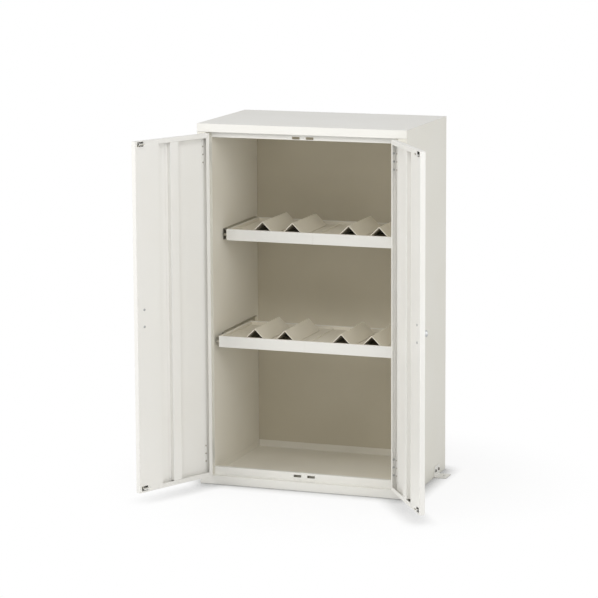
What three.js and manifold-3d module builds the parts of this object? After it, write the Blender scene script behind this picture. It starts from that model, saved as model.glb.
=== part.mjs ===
// Steel storage cabinet with two doors and two pull-out trays that carry cradles.
// Millimetres, +Z up. X runs to the right and Y to the back, and the origin is
// on the floor in the middle of the body.
import * as THREE from "three";
import { mergeVertices } from "three/addons/utils/BufferGeometryUtils.js";
import Module from "manifold-3d";

const wasm = await Module();
wasm.setup();

// Body
const bodyWidth = 880;
const bodyDepth = 550;
const bodyHeight = 1480;
const bodyGauge = 1.2;
const lipHeight = 34;
const lipReturn = 15;
const rearDrop = 20;
const rearFlange = 22;
const stileWidth = 36;
const sideStopWidth = 16;
const doorReveal = 27;
const linerFlange = 12;

// Base
const baseHeight = 36;
const baseLedge = 60;
const baseReturn = 18;
const railFlange = 60;
const crossWidth = 60;
const crossFlange = 15;
const floorPanLip = 30;

// Stop strips and their catch slots
const topStopHeight = 23;
const bottomStopHeight = 32;
const stopReturn = 18;
const catchFromCentre = 29;
const catchWidth = 32;
const catchHeight = 10.5;
const topCatchRise = 8;
const bottomCatchRise = 18.5;

// Trays
const trayHeight = 46;
const trayGauge = 1.5;
const trayRim = 12;
const deckDrop = 14;
const traySetback = 130;
const trayRearGap = 60;
const slideRoom = 20;
const upperTrayTop = 1036;
const lowerTrayTop = 611;
const lowerTrayPull = 96;

// Cradles
const cradleRise = 36.5;
const cradleGauge = 3;
const cradleRearGap = 46;
const ridgePitchShare = 0.35;
const pairsOffsetShare = 0.044;

// Slides
const slideHeight = 46;
const outerGauge = 1.5;
const outerReach = 10;
const outerSetback = 145;
const outerRearGap = 45;
const middleGauge = 1.2;
const middleSetback = 165;
const innerGauge = 1.5;
const innerSetback = 2;
const innerRearGap = 8;
const slideFit = 0.3;
const webGap = 1.5;
const middleToTray = 3;
const innerToMiddle = 8.3;

// Doors
const doorThickness = 21;
const doorGauge = 1.2;
const doorSetback = 1;
const hingeGap = 3.5;
const meetingGap = 3;
const doorFootGap = 2;
const doorHeadGap = 2.5;
const doorLip = 18;
const latchStile = 125;
const hingeRecessShare = 0.71;
const hatWidth = 45;
const hatFlange = 12;
const hatGauge = 1;
const leftDoorAngle = 115;
const rightDoorAngle = 123.5;

// Hinges
const leafHeight = 90;
const leafDepth = 20;
const leafGauge = 1.2;
const topHingeDrop = 85;
const bottomHingeRise = 95;
const axisAhead = 3.2;
const axisFromStile = 1.6;
const barrelRadius = 2.8;
const barrelBore = 1.5;
const pinRadius = 1.1;
const hingeScrewPitch = 32;
const hingeScrewRadius = 2;
const hingeScrewHole = 2.6;
const hingeHeadRadius = 4.5;
const hingeHeadHeight = 2.5;

// Handles and latch rods
const handleFromEdge = 36.5;
const plateWidth = 28;
const plateHeight = 100;
const plateThickness = 3;
const handleScrewPitch = 68;
const handleScrewRadius = 2.8;
const handleScrewHole = 3.4;
const handleHeadRadius = 5;
const handleHeadHeight = 2.5;
const hubRadius = 13;
const hubHeight = 14;
const leverLength = 90;
const leverWidth = 16;
const leverThickness = 8;
const spindleRadius = 6;
const spindleHole = 7.5;
const camRadius = 14;
const camThickness = 3;
const camDepth = 7;
const rodRadius = 3.5;
const rodFromEdge = 19.5;
const rodEndGap = 18;
const hookWidth = 27;
const hookArm = 3;
const hookTipRise = 7.5;
const hookTipDepth = 3;
const hookBehindStop = 2.3;
const hookInCatch = 1.3;
const latchSlotWidth = 33;
const latchSlotHeight = 19;

// Lock plug in the right door
const lockAboveHandle = 95;
const plugRadius = 8.5;
const plugHole = 9;
const plugLength = 16;
const plugFlangeRadius = 10.5;
const plugFlange = 3;
const keywayWidth = 1.6;
const keywayHeight = 9;
const keywayDepth = 4;

// Floor anchors
const anchorGauge = 3.2;
const anchorSetback = 385;
const anchorLength = 70;
const anchorLeg = 45;
const anchorFoot = 52;
const anchorHoleRadius = 6.5;
const anchorBoltRadius = 6.5;
const anchorBoltHead = 4;
const anchorBoltPitch = 40;
const anchorBoltRise = 26;

// Clearances and cuts
const fit = 0.3;
const overrun = 5;
const weld = 1e-3;
const roundSides = 24;

// Places worked out from the sizes above
const front = -bodyDepth / 2;
const back = bodyDepth / 2;
const half = bodyWidth / 2;
const lipUnder = bodyHeight - lipHeight;
const stopFace = front + doorReveal;
const stileInner = half - stileWidth;
const openingHalf = stileInner - sideStopWidth;
const wallInner = half - bodyGauge;
const backInner = back - 2 * bodyGauge;
const underTop = bodyHeight - bodyGauge;
const topStopUnder = lipUnder - topStopHeight;
const bottomStopTop = baseHeight + bottomStopHeight;
const topCatch = topStopUnder + topCatchRise;
const bottomCatch = baseHeight + bottomCatchRise;
const doorFront = front + doorSetback;
const doorBack = doorFront + doorThickness;
const doorFoot = baseHeight + doorFootGap;
const doorHead = lipUnder - doorHeadGap;
const doorInnerEdge = meetingGap / 2;
const doorOuterEdge = stileInner - hingeGap;
const axisX = stileInner - axisFromStile;
const axisY = front - axisAhead;
const handleX = doorInnerEdge + handleFromEdge;
const handleZ = (doorFoot + doorHead) / 2;
const whole = [-bodyWidth, bodyWidth];
const trayWidth = 2 * (openingHalf - slideRoom);
const trayDepth = bodyDepth - traySetback - trayRearGap;

// Materials
const ivoryPaint = { color: "#e6e4dc", roughness: 0.45, metalness: 0 };
const innerPaint = { color: "#d2cfc4", roughness: 0.5, metalness: 0 };
const zincSteel = { color: "#a9abab", roughness: 0.35, metalness: 0.8 };
const chromeZinc = { color: "#c4c6c8", roughness: 0.22, metalness: 0.9 };

// Solids from three.js shapes
function solid(geometry) {
  const loose = geometry.index ? geometry.toNonIndexed() : geometry;
  const bare = new THREE.BufferGeometry();
  bare.setAttribute("position", loose.getAttribute("position"));
  const merged = mergeVertices(bare, weld);
  const mesh = new wasm.Mesh({
    numProp: 3,
    vertProperties: merged.attributes.position.array,
    triVerts: new Uint32Array(merged.index.array),
  });
  return new wasm.Manifold(mesh);
}

function block([x0, x1], [y0, y1], [z0, z1]) {
  const box = new THREE.BoxGeometry(x1 - x0, y1 - y0, z1 - z0);
  box.translate((x0 + x1) / 2, (y0 + y1) / 2, (z0 + z1) / 2);
  return solid(box);
}

// A stretch of X on the left (hand -1) or the right (hand 1) of the middle.
function span(hand, near, far) {
  return hand > 0 ? [near, far] : [-far, -near];
}

// A stretch that reaches the same length to both sides of a place.
function around(middle, reach) {
  return [middle - reach, middle + reach];
}

// Extrudes an outline along X (its points are Y, Z), Y (X, Z) or Z (X, Y).
function extruded(outline, axis, [from, to]) {
  const shape = new THREE.Shape(outline.map(([a, b]) => new THREE.Vector2(a, b)));
  const geometry = new THREE.ExtrudeGeometry(shape, { depth: to - from, bevelEnabled: false });
  const x = new THREE.Vector3(1, 0, 0);
  const y = new THREE.Vector3(0, 1, 0);
  const z = new THREE.Vector3(0, 0, 1);
  const turn = new THREE.Matrix4();
  if (axis === "x") turn.makeBasis(y, z, x);
  if (axis === "y") turn.makeBasis(x, z, y.clone().negate());
  geometry.applyMatrix4(turn);
  if (axis === "x") geometry.translate(from, 0, 0);
  if (axis === "y") geometry.translate(0, to, 0);
  if (axis === "z") geometry.translate(0, 0, from);
  return solid(geometry);
}

// The outline of a sheet folded along a path, with its thickness on one side:
// side 1 is the left of the path's direction and side -1 is the right.
function folded(path, gauge, side) {
  const normals = path.slice(1).map(([a, b], i) => {
    const [da, db] = [a - path[i][0], b - path[i][1]];
    const length = Math.hypot(da, db);
    return [(-side * db) / length, (side * da) / length];
  });
  const inner = path.map(([a, b], i) => {
    const before = normals[Math.max(i - 1, 0)];
    const after = normals[Math.min(i, normals.length - 1)];
    const spread = 1 + before[0] * after[0] + before[1] * after[1];
    const step = gauge / spread;
    return [a + step * (before[0] + after[0]), b + step * (before[1] + after[1])];
  });
  return [...path, ...inner.reverse()];
}

function sheet(path, gauge, side, axis, length) {
  return extruded(folded(path, gauge, side), axis, length);
}

// A round bar along X, Y or Z through a point given by its two other places.
function bar(radius, axis, [from, to], [a, b]) {
  const round = new THREE.CylinderGeometry(radius, radius, to - from, roundSides);
  const middle = (from + to) / 2;
  if (axis === "x") round.rotateZ(Math.PI / 2).translate(middle, a, b);
  if (axis === "y") round.translate(a, middle, b);
  if (axis === "z") round.rotateX(Math.PI / 2).translate(a, b, middle);
  return solid(round);
}

function cutAll(body, cuts) {
  return cuts.reduce((left, cut) => left.subtract(cut), body);
}

function joinAll(first, more) {
  return more.reduce((joined, piece) => joined.add(piece), first);
}

function addPiece(group, name, body, look) {
  const { vertProperties, triVerts } = body.getMesh();
  const geometry = new THREE.BufferGeometry();
  geometry.setAttribute("position", new THREE.BufferAttribute(vertProperties, 3));
  geometry.setIndex(new THREE.BufferAttribute(triVerts, 1));
  geometry.computeVertexNormals();
  const mesh = new THREE.Mesh(geometry, new THREE.MeshStandardMaterial(look));
  mesh.name = name;
  group.add(mesh);
}

function topPanel() {
  const path = [
    [front + lipReturn, lipUnder],
    [front, lipUnder],
    [front, bodyHeight],
    [back, bodyHeight],
    [back, bodyHeight - rearDrop],
  ];
  return sheet(path, bodyGauge, -1, "x", around(0, half));
}

// One sheet makes the outer wall, the front stile, the reveal and the side stop strip.
function sidePanel(hand) {
  const path = [
    [hand * (half - rearFlange), back],
    [hand * half, back],
    [hand * half, front],
    [hand * stileInner, front],
    [hand * stileInner, stopFace],
    [hand * openingHalf, stopFace],
  ];
  const lipFace = [front - overrun, front + bodyGauge + fit];
  const lipFlange = [front - overrun, front + lipReturn + fit];
  const stopDepth = [front - overrun, stopFace + bodyGauge + fit];
  const aboveLip = [lipUnder - fit, bodyHeight + overrun];
  const lipSheet = [lipUnder - fit, lipUnder + bodyGauge + fit];
  const belowBase = [-overrun, baseHeight + fit];
  const rear = [back - bodyGauge - fit, back + overrun];
  return cutAll(sheet(path, bodyGauge, -hand, "z", [0, underTop]), [
    block(whole, lipFace, aboveLip),
    block(whole, lipFlange, lipSheet),
    block(whole, rear, [bodyHeight - rearDrop - fit, bodyHeight + overrun]),
    block(whole, lipFace, belowBase),
    block(span(hand, 0, wallInner - fit), stopDepth, belowBase),
  ]);
}

function liner(hand) {
  const frontPlace = stopFace + bodyGauge;
  const path = [
    [hand * (openingHalf + linerFlange), frontPlace],
    [hand * openingHalf, frontPlace],
    [hand * openingHalf, backInner],
    [hand * (openingHalf + linerFlange), backInner],
  ];
  return sheet(path, bodyGauge, -hand, "z", [baseHeight, underTop]);
}

function backPanel() {
  const depth = [backInner, back - bodyGauge];
  return block(around(0, wallInner - fit), depth, [0, underTop - fit]);
}

function floorPan() {
  const width = openingHalf - fit;
  const nose = stopFace + stopReturn + fit;
  const tail = backInner - fit;
  const outside = block(around(0, width), [nose, tail], [baseHeight, baseHeight + floorPanLip]);
  const inside = block(
    around(0, width - bodyGauge),
    [nose + bodyGauge, tail - bodyGauge],
    [baseHeight + bodyGauge, baseHeight + floorPanLip + overrun],
  );
  return outside.subtract(inside);
}

function catchSlots(height) {
  return [-1, 1].map((hand) =>
    block(
      around(hand * catchFromCentre, catchWidth / 2),
      around(stopFace, overrun),
      around(height, catchHeight / 2),
    ),
  );
}

function topStop() {
  const path = [
    [stopFace + stopReturn, topStopUnder],
    [stopFace, topStopUnder],
    [stopFace, underTop],
  ];
  const strip = sheet(path, bodyGauge, -1, "x", around(0, openingHalf - fit));
  return cutAll(strip, catchSlots(topCatch));
}

function bottomStop() {
  const path = [
    [stopFace + stopReturn, bottomStopTop],
    [stopFace, bottomStopTop],
    [stopFace, baseHeight],
  ];
  const strip = sheet(path, bodyGauge, 1, "x", around(0, openingHalf - fit));
  return cutAll(strip, catchSlots(bottomCatch));
}

function baseFrontRail() {
  const path = [
    [front + baseReturn, 0],
    [front, 0],
    [front, baseHeight],
    [front + baseLedge, baseHeight],
    [front + baseLedge, baseHeight - baseReturn],
  ];
  const behindFace = [front + bodyGauge, front + baseLedge + overrun];
  const ends = [-1, 1].map((hand) =>
    block(span(hand, wallInner - fit, half + overrun), behindFace, around(0, bodyHeight)),
  );
  return cutAll(sheet(path, bodyGauge, -1, "x", around(0, half)), ends);
}

function baseRearRail() {
  const path = [
    [backInner - railFlange, 0],
    [backInner, 0],
    [backInner, baseHeight],
    [backInner - railFlange, baseHeight],
  ];
  return sheet(path, bodyGauge, 1, "x", around(0, wallInner - fit));
}

const railRun = [front + baseLedge + fit, backInner - railFlange - fit];

function baseSideRail(hand) {
  const path = [
    [hand * (wallInner - railFlange), 0],
    [hand * wallInner, 0],
    [hand * wallInner, baseHeight],
    [hand * (wallInner - railFlange), baseHeight],
  ];
  return sheet(path, bodyGauge, hand, "y", railRun);
}

// A hat section with its flat side down, under the middle of the floor pan.
function baseCrossMember() {
  const flangeZ = baseHeight - bodyGauge;
  const wall = crossWidth / 2;
  const path = [
    [-wall - crossFlange, flangeZ],
    [-wall, flangeZ],
    [-wall, 0],
    [wall, 0],
    [wall, flangeZ],
    [wall + crossFlange, flangeZ],
  ];
  return sheet(path, bodyGauge, 1, "y", railRun);
}

// An angle beside the rear foot of a side wall, with a hole for a floor bolt.
function anchorBracket(hand) {
  const path = [
    [hand * (half + anchorFoot), 0],
    [hand * half, 0],
    [hand * half, anchorLeg],
  ];
  const start = front + anchorSetback;
  const middle = start + anchorLength / 2;
  const angle = sheet(path, anchorGauge, -hand, "y", [start, start + anchorLength]);
  const holeX = hand * (half + anchorFoot / 2 + anchorGauge);
  const hole = bar(anchorHoleRadius, "z", around(0, anchorGauge + overrun), [holeX, middle]);
  const headReach = anchorGauge + anchorBoltHead;
  const heads = [-1, 1].map((end) => {
    const place = [middle + (end * anchorBoltPitch) / 2, anchorBoltRise];
    return bar(anchorBoltRadius, "x", span(hand, half, half + headReach), place);
  });
  return joinAll(angle.subtract(hole), heads);
}

// A C-shaped slide member whose web stands at X and whose flanges reach inward or outward.
function slideMember(web, reach, height, middleZ, gauge, run) {
  const path = [
    [web + reach, middleZ + height / 2],
    [web, middleZ + height / 2],
    [web, middleZ - height / 2],
    [web + reach, middleZ - height / 2],
  ];
  return sheet(path, gauge, reach > 0 ? 1 : -1, "y", run);
}

const slideEnd = back - outerRearGap;
const middleWeb = openingHalf - outerGauge - webGap;
const middleHeight = slideHeight - 2 * (outerGauge + slideFit);
const innerHeight = middleHeight - 2 * (middleGauge + slideFit);

function outerSlide(hand, trayTop) {
  const run = [front + outerSetback, slideEnd];
  const z = trayTop - trayHeight / 2;
  return slideMember(hand * openingHalf, -hand * outerReach, slideHeight, z, outerGauge, run);
}

function middleSlide(hand, trayTop) {
  const run = [front + middleSetback, slideEnd];
  const reach = middleWeb - trayWidth / 2 - middleToTray;
  const z = trayTop - trayHeight / 2;
  return slideMember(hand * middleWeb, -hand * reach, middleHeight, z, middleGauge, run);
}

function innerSlide(hand, trayTop) {
  const nose = front + traySetback;
  const run = [nose + innerSetback, nose + trayDepth - innerRearGap];
  const web = trayWidth / 2;
  const reach = middleWeb - middleGauge - innerToMiddle - web;
  const z = trayTop - trayHeight / 2;
  return slideMember(hand * web, hand * reach, innerHeight, z, innerGauge, run);
}

// A box as long and wide as the tray, drawn in by an inset on every side.
function trayBox(inset, heights) {
  const nose = front + traySetback;
  return block(around(0, trayWidth / 2 - inset), [nose + inset, nose + trayDepth - inset], heights);
}

// A sunken deck inside a hollow rim, with skirts all round and open from below.
function tray(trayTop) {
  const foot = trayTop - trayHeight;
  const deck = trayTop - deckDrop;
  const through = [foot - overrun, trayTop + overrun];
  const rimHollow = trayBox(trayGauge, [foot - overrun, trayTop - trayGauge]);
  return cutAll(trayBox(0, [foot, trayTop]), [
    trayBox(trayRim, [deck, trayTop + overrun]),
    trayBox(trayGauge, [foot - overrun, deck - trayGauge]),
    rimHollow.subtract(trayBox(trayRim - trayGauge, through)),
  ]);
}

// A plate bent to a right-angled ridge that runs from front to back on the deck.
function cradle(x, trayTop) {
  const deck = trayTop - deckDrop;
  const height = deckDrop + cradleRise;
  const across = cradleGauge * Math.SQRT2;
  const outline = [
    [x - height, deck],
    [x, deck + height],
    [x + height, deck],
    [x + height - across, deck],
    [x, deck + height - across],
    [x - height + across, deck],
  ];
  const inside = front + traySetback + trayRim;
  const end = inside + trayDepth - 2 * trayRim - cradleRearGap;
  return extruded(outline, "y", [inside + fit, end]);
}

// Each half of the tray has a pair of ridges, and both pairs stand a little to the right.
function ridgePlaces() {
  const module = trayWidth / 2;
  const pairs = [-1, 1].map((end) => pairsOffsetShare * trayWidth + (end * module) / 2);
  const reach = (ridgePitchShare * module) / 2;
  return pairs.flatMap((middle) => [-1, 1].map((end) => middle + end * reach));
}

const hingeHeights = { top: doorHead - topHingeDrop, bottom: doorFoot + bottomHingeRise };
const hingeScrewSteps = [-hingeScrewPitch, 0, hingeScrewPitch];
const hingeScrewY = (doorFront + doorBack) / 2;
const barrelThird = leafHeight / 6;

function hingeScrews(hand, height, radius, [near, far]) {
  return hingeScrewSteps.map((step) =>
    bar(radius, "x", span(hand, near, far), [hingeScrewY, height + step]),
  );
}

function barrel(hand, radius, heights) {
  return bar(radius, "z", heights, [hand * axisX, axisY]);
}

// The leaf screwed to the door's edge, with the middle third of the barrel.
function doorLeaf(hand, height) {
  const near = doorOuterEdge + fit;
  const leaf = span(hand, near, near + leafGauge);
  const heights = around(height, leafHeight / 2);
  const knuckle = around(height, barrelThird - fit);
  const headFar = doorOuterEdge - doorGauge - fit;
  return joinAll(block(leaf, [front + fit, front + leafDepth], heights), [
    block(leaf, [axisY, front + 2 * fit], knuckle),
    barrel(hand, barrelRadius, knuckle),
    ...hingeScrews(hand, height, hingeScrewRadius, [headFar - fit, near + leafGauge]),
    ...hingeScrews(hand, height, hingeHeadRadius, [headFar - hingeHeadHeight, headFar]),
  ]).subtract(barrel(hand, barrelBore, around(height, leafHeight)));
}

// The leaf on the stile, with the outer thirds of the barrel and the pin.
function frameLeaf(hand, height) {
  const leaf = span(hand, stileInner - leafGauge, stileInner);
  const edge = leafHeight / 2;
  const thirds = [
    [height - edge, height - barrelThird],
    [height + barrelThird, height + edge],
  ];
  const plate = block(leaf, [front + fit, front + leafDepth], around(height, edge));
  const parts = thirds.flatMap((heights) => [
    block(leaf, [axisY, front + 2 * fit], heights),
    barrel(hand, barrelRadius, heights),
  ]);
  return joinAll(plate, [...parts, barrel(hand, pinRadius, around(height, edge))]);
}

// The door is a folded pan: a skin with edges and an inner lip, and a boxed stile
// for the latch along its free edge.
function doorPan(hand) {
  const [near, far] = [doorInnerEdge, doorOuterEdge];
  const web = near + latchStile;
  const hollow = [doorFront + doorGauge, doorBack - doorGauge];
  const inside = [doorFoot + doorGauge, doorHead - doorGauge];
  const innerSkin = around(doorBack, overrun);
  const slot = around(hand * catchFromCentre, latchSlotWidth / 2);
  const handle = [hand * handleX, handleZ];
  const screwStep = handleScrewPitch / 2;
  const throughDoor = [doorFront - overrun, doorBack + overrun];
  const throughSkin = around(doorFront, overrun);
  const screwHoles = [-screwStep, screwStep].map((step) =>
    bar(handleScrewHole, "y", throughDoor, [hand * handleX, handleZ + step]),
  );
  const hingeHoles = Object.values(hingeHeights).flatMap((height) =>
    hingeScrews(hand, height, hingeScrewHole, [far - overrun, far + overrun]),
  );
  const cuts = [
    block(span(hand, near + doorGauge, web - doorGauge), hollow, inside),
    block(span(hand, web, far - doorGauge), hollow, inside),
    block(span(hand, web, far - doorLip), innerSkin, [doorFoot + doorLip, doorHead - doorLip]),
    block(slot, innerSkin, around(topCatch, latchSlotHeight / 2)),
    block(slot, innerSkin, around(bottomCatch, latchSlotHeight / 2)),
    bar(spindleHole, "y", throughSkin, handle),
    ...screwHoles,
    ...hingeHoles,
  ];
  if (hand > 0) cuts.push(bar(plugHole, "y", throughSkin, lockPlace()));
  return cutAll(block(span(hand, near, far), [doorFront, doorBack], [doorFoot, doorHead]), cuts);
}

function hatStiffener(hand) {
  const recess = doorOuterEdge - doorLip - doorInnerEdge - latchStile;
  const far = doorOuterEdge - doorLip - hingeRecessShare * (recess - hatWidth);
  const near = far - hatWidth;
  const seat = doorFront + doorGauge + fit + hatGauge;
  const path = [
    [hand * (near - hatFlange), seat],
    [hand * near, seat],
    [hand * near, doorBack],
    [hand * far, doorBack],
    [hand * far, seat],
    [hand * (far + hatFlange), seat],
  ];
  const heights = [doorFoot + doorLip + fit, doorHead - doorLip - fit];
  return sheet(path, hatGauge, -hand, "z", heights);
}

const plateBack = doorFront - fit;
const plateFront = plateBack - plateThickness;

// The plate under the lever, with the two screws that pass through the door.
function handlePlate(hand) {
  const [x, z] = [hand * handleX, handleZ];
  const plate = block(
    around(x, plateWidth / 2),
    [plateFront, plateBack],
    around(z, plateHeight / 2),
  );
  const headStart = doorBack + fit;
  const screws = [-1, 1].flatMap((end) => {
    const place = [x, z + (end * handleScrewPitch) / 2];
    return [
      bar(handleScrewRadius, "y", [plateFront, headStart], place),
      bar(handleHeadRadius, "y", [headStart, headStart + handleHeadHeight], place),
    ];
  });
  return joinAll(plate, screws).subtract(bar(spindleHole, "y", around(plateBack, overrun), [x, z]));
}

// The lever with its hub, spindle and cam, lying level in the unlatched place.
function lever(hand) {
  const place = [hand * handleX, handleZ];
  const hubBack = plateFront - fit;
  const hubFront = hubBack - hubHeight;
  const cam = [doorFront + camDepth, doorFront + camDepth + camThickness];
  const arm = span(hand, handleX, handleX + leverLength);
  return joinAll(bar(hubRadius, "y", [hubFront, hubBack], place), [
    block(arm, [hubFront, hubFront + leverThickness], around(handleZ, leverWidth / 2)),
    bar(spindleRadius, "y", [hubFront, cam[1]], place),
    bar(camRadius, "y", cam, place),
  ]);
}

// A rod in the latch stile with the hook that passes through a slot in the stop strip.
function latchRod(hand, end) {
  const rodY = doorBack - doorGauge - fit - rodRadius;
  const tipEnd = stopFace + bodyGauge + hookBehindStop + hookTipDepth;
  const hook = around(hand * catchFromCentre, hookWidth / 2);
  const catchZ = end > 0 ? topCatch : bottomCatch;
  const armEdge = catchZ - end * (catchHeight / 2 - hookInCatch);
  const stretch = (a, b) => [Math.min(a, b), Math.max(a, b)];
  const arm = stretch(armEdge, armEdge + end * hookArm);
  const tip = stretch(armEdge, armEdge + end * hookTipRise);
  const run = stretch(handleZ + end * rodEndGap, armEdge + end * hookArm);
  const place = [hand * (doorInnerEdge + rodFromEdge), rodY];
  return joinAll(bar(rodRadius, "z", run, place), [
    block(hook, [rodY, tipEnd], arm),
    block(hook, [tipEnd - hookTipDepth, tipEnd], tip),
  ]);
}

function lockPlace() {
  return [handleX, handleZ + lockAboveHandle];
}

function lockPlug() {
  const place = lockPlace();
  const flangeFront = plateBack - plugFlange;
  const keyway = block(
    around(place[0], keywayWidth / 2),
    around(flangeFront, keywayDepth),
    around(place[1], keywayHeight / 2),
  );
  return joinAll(bar(plugFlangeRadius, "y", [flangeFront, plateBack], place), [
    bar(plugRadius, "y", [flangeFront, flangeFront + plugLength], place),
  ]).subtract(keyway);
}

// A door's pieces are shaped in the closed place and hang in a group on the hinge axis.
function door(hand, side, angle) {
  const hung = new THREE.Group();
  hung.position.set(-hand * axisX, -axisY, 0);
  addPiece(hung, `${side}_door_pan`, doorPan(hand), ivoryPaint);
  addPiece(hung, `${side}_door_stiffener`, hatStiffener(hand), ivoryPaint);
  for (const [place, height] of Object.entries(hingeHeights))
    addPiece(hung, `${side}_door_${place}_hinge_leaf`, doorLeaf(hand, height), zincSteel);
  addPiece(hung, `${side}_handle_plate`, handlePlate(hand), chromeZinc);
  addPiece(hung, `${side}_handle_lever`, lever(hand), chromeZinc);
  addPiece(hung, `${side}_upper_latch_rod`, latchRod(hand, 1), zincSteel);
  addPiece(hung, `${side}_lower_latch_rod`, latchRod(hand, -1), zincSteel);
  if (hand > 0) addPiece(hung, `${side}_lock_plug`, lockPlug(), chromeZinc);
  const turned = new THREE.Group();
  turned.position.set(hand * axisX, axisY, 0);
  turned.rotation.z = THREE.MathUtils.degToRad(hand * angle);
  turned.add(hung);
  return turned;
}

const sides = [
  [-1, "left"],
  [1, "right"],
];

function trayUnit(level, trayTop, pull) {
  const unit = new THREE.Group();
  const sliding = new THREE.Group();
  sliding.position.y = -pull;
  addPiece(sliding, `${level}_tray`, tray(trayTop), ivoryPaint);
  ridgePlaces().forEach((x, i) =>
    addPiece(sliding, `${level}_cradle_${i + 1}`, cradle(x, trayTop), innerPaint),
  );
  const halfway = new THREE.Group();
  halfway.position.y = -pull / 2;
  for (const [hand, side] of sides) {
    addPiece(sliding, `${level}_${side}_inner_slide`, innerSlide(hand, trayTop), zincSteel);
    addPiece(halfway, `${level}_${side}_middle_slide`, middleSlide(hand, trayTop), zincSteel);
    addPiece(unit, `${level}_${side}_outer_slide`, outerSlide(hand, trayTop), zincSteel);
  }
  unit.add(sliding, halfway);
  return unit;
}

const cabinet = new THREE.Group();
addPiece(cabinet, "top_panel", topPanel(), ivoryPaint);
addPiece(cabinet, "back_panel", backPanel(), innerPaint);
addPiece(cabinet, "floor_pan", floorPan(), innerPaint);
addPiece(cabinet, "top_stop_strip", topStop(), ivoryPaint);
addPiece(cabinet, "bottom_stop_strip", bottomStop(), ivoryPaint);
addPiece(cabinet, "base_front_rail", baseFrontRail(), ivoryPaint);
addPiece(cabinet, "base_rear_rail", baseRearRail(), ivoryPaint);
addPiece(cabinet, "base_cross_member", baseCrossMember(), ivoryPaint);
for (const [hand, side] of sides) {
  addPiece(cabinet, `${side}_side_panel`, sidePanel(hand), ivoryPaint);
  addPiece(cabinet, `${side}_liner`, liner(hand), innerPaint);
  addPiece(cabinet, `base_${side}_rail`, baseSideRail(hand), ivoryPaint);
  addPiece(cabinet, `${side}_anchor_bracket`, anchorBracket(hand), ivoryPaint);
  for (const [place, height] of Object.entries(hingeHeights))
    addPiece(cabinet, `${side}_frame_${place}_hinge_leaf`, frameLeaf(hand, height), zincSteel);
}
cabinet.add(trayUnit("upper", upperTrayTop, 0));
cabinet.add(trayUnit("lower", lowerTrayTop, lowerTrayPull));
cabinet.add(door(-1, "left", leftDoorAngle));
cabinet.add(door(1, "right", rightDoorAngle));

export default cabinet;
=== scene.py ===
import math

import bmesh
import bpy
from mathutils import Matrix, Vector


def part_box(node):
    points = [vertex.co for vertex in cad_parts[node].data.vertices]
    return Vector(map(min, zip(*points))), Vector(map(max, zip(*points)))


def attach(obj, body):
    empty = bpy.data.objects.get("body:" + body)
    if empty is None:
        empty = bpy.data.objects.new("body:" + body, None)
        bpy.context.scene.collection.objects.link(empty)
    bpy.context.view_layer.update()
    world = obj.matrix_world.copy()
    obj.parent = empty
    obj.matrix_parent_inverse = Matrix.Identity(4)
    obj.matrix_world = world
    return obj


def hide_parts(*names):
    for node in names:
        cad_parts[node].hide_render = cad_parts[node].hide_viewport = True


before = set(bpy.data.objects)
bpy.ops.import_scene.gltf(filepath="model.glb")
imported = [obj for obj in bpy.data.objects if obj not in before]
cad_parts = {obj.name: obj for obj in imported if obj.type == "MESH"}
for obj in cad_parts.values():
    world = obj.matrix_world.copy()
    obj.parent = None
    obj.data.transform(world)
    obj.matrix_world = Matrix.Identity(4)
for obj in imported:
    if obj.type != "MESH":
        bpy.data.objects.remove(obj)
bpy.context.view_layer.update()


# The camera stands in front, a little to the right and above the cabinet's roof, and looks
# slightly down through a long lens whose frame is moved down, as the photograph's is.
camera_azimuth = math.radians(19.6)
camera_elevation = math.radians(8.83)
camera_roll = math.radians(-0.29)
camera_distance = 10.613
camera_target = Vector((-0.079, -0.075, 0.994))
picture_width = 598
focal_pixels = 2613
centre_row = 240
sensor_width = 36

toward_camera = Vector((
    math.sin(camera_azimuth) * math.cos(camera_elevation),
    -math.cos(camera_azimuth) * math.cos(camera_elevation),
    math.sin(camera_elevation),
))
sideways = Vector((0, 0, 1)).cross(toward_camera).normalized()
upright = toward_camera.cross(sideways)
camera_right = sideways * math.cos(camera_roll) + upright * math.sin(camera_roll)
camera_up = upright * math.cos(camera_roll) - sideways * math.sin(camera_roll)
camera_data = bpy.data.cameras.new("camera")
camera_data.sensor_width = sensor_width
camera_data.lens = focal_pixels / picture_width * sensor_width
camera_data.shift_y = (centre_row - picture_width / 2) / picture_width
camera_data.clip_end = 100
camera = bpy.data.objects.new("camera", camera_data)
camera_axes = Matrix((camera_right, camera_up, toward_camera)).transposed().to_4x4()
camera_place = Matrix.Translation(camera_target + toward_camera * camera_distance)
camera.matrix_world = camera_place @ camera_axes
bpy.context.scene.collection.objects.link(camera)
bpy.context.scene.camera = camera


# The floor is a wide sheet of matt white paper. It shows the cabinet's soft shadow where
# it stands, strongest close under the base, and melts into the white room around it. Close
# to the cabinet the paper's colour is also darkened by ambient occlusion: a painted contact shadow.
def linear(code):
    channels = [int(code[i:i + 2], 16) / 255 for i in (1, 3, 5)]
    straight = [c / 12.92 if c <= 0.04045 else ((c + 0.055) / 1.055) ** 2.4 for c in channels]
    return (*straight, 1)


def add_node(tree, kind, inputs=None, **settings):
    node = tree.nodes.new(kind)
    for name, value in settings.items():
        setattr(node, name, value)
    for name, value in (inputs or {}).items():
        if isinstance(value, bpy.types.NodeSocket):
            tree.links.new(value, node.inputs[name])
        else:
            node.inputs[name].default_value = value
    return node


def new_material(name):
    material = bpy.data.materials.new(name)
    material.use_nodes = True
    material.node_tree.nodes.clear()
    return material, material.node_tree


def seen_directly(tree):
    """One where the camera looks, straight or by a reflection, and zero for plain light."""
    ray = add_node(tree, "ShaderNodeLightPath")
    seen = add_node(tree, "ShaderNodeMath", {
        0: ray.outputs["Is Camera Ray"],
        1: ray.outputs["Is Glossy Ray"],
    }, operation="MAXIMUM")
    return seen.outputs[0]


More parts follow.
